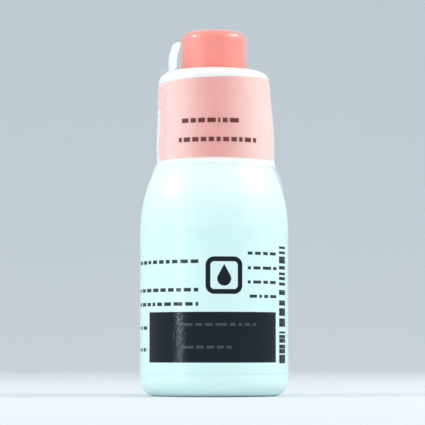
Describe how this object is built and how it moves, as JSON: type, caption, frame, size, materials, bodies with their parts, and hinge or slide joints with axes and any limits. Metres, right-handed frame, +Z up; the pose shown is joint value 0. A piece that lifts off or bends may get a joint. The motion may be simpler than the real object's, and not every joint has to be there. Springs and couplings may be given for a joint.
{
  "type": "contact lens solution bottle",
  "caption": "Small round squeeze bottle with a nozzle plug, a stepped screw cap, a label sleeve and a shrink seal with a tear strip.",
  "frame": {"origin": "centre of the base, on the plane that the bottle stands on", "axes": "+Z up the bottle's axis, -Y out of the front of the label, +X to its right"},
  "size_m": [0.0292, 0.0292, 0.0716],
  "materials": {
    "bottle_plastic": "satin milky polyethylene",
    "plug_plastic": "natural polyethylene",
    "cap_plastic": "satin coral polypropylene",
    "label_film": "semi-gloss printed film",
    "solution": "clear liquid",
    "seal_film": "milky clear shrink film"
  },
  "bodies": {
    "bottle": {"bottle": "bottle_plastic", "inner_plug": "plug_plastic", "label_sleeve": "label_film", "solution": "solution"},
    "seal": {"seal_band": "seal_film"},
    "cap": {"screw_cap": "cap_plastic"},
    "strip": {"tear_strip": "seal_film"}
  },
  "joints": [
    {"name": "cap_rise", "type": "slide", "parent": "bottle", "child": "seal", "axis": [0, 0, 1], "range_m": [0, 0.0045]},
    {"name": "cap_turn", "type": "hinge", "parent": "seal", "child": "cap", "pos_m": [0, 0, 0.0538], "axis": [0, 0, 1], "range_deg": [0, 540]},
    {"name": "strip_peel", "type": "hinge", "parent": "seal", "child": "strip", "pos_m": [-0.01291, -0.00419, 0.0402], "axis": [0.309, -0.9511, 0], "range_deg": [0, 110]}
  ],
  "couplings": [
    {"joint": "cap_rise", "follows": "cap_turn", "m_per_rad": 0.00047746}
  ]
}
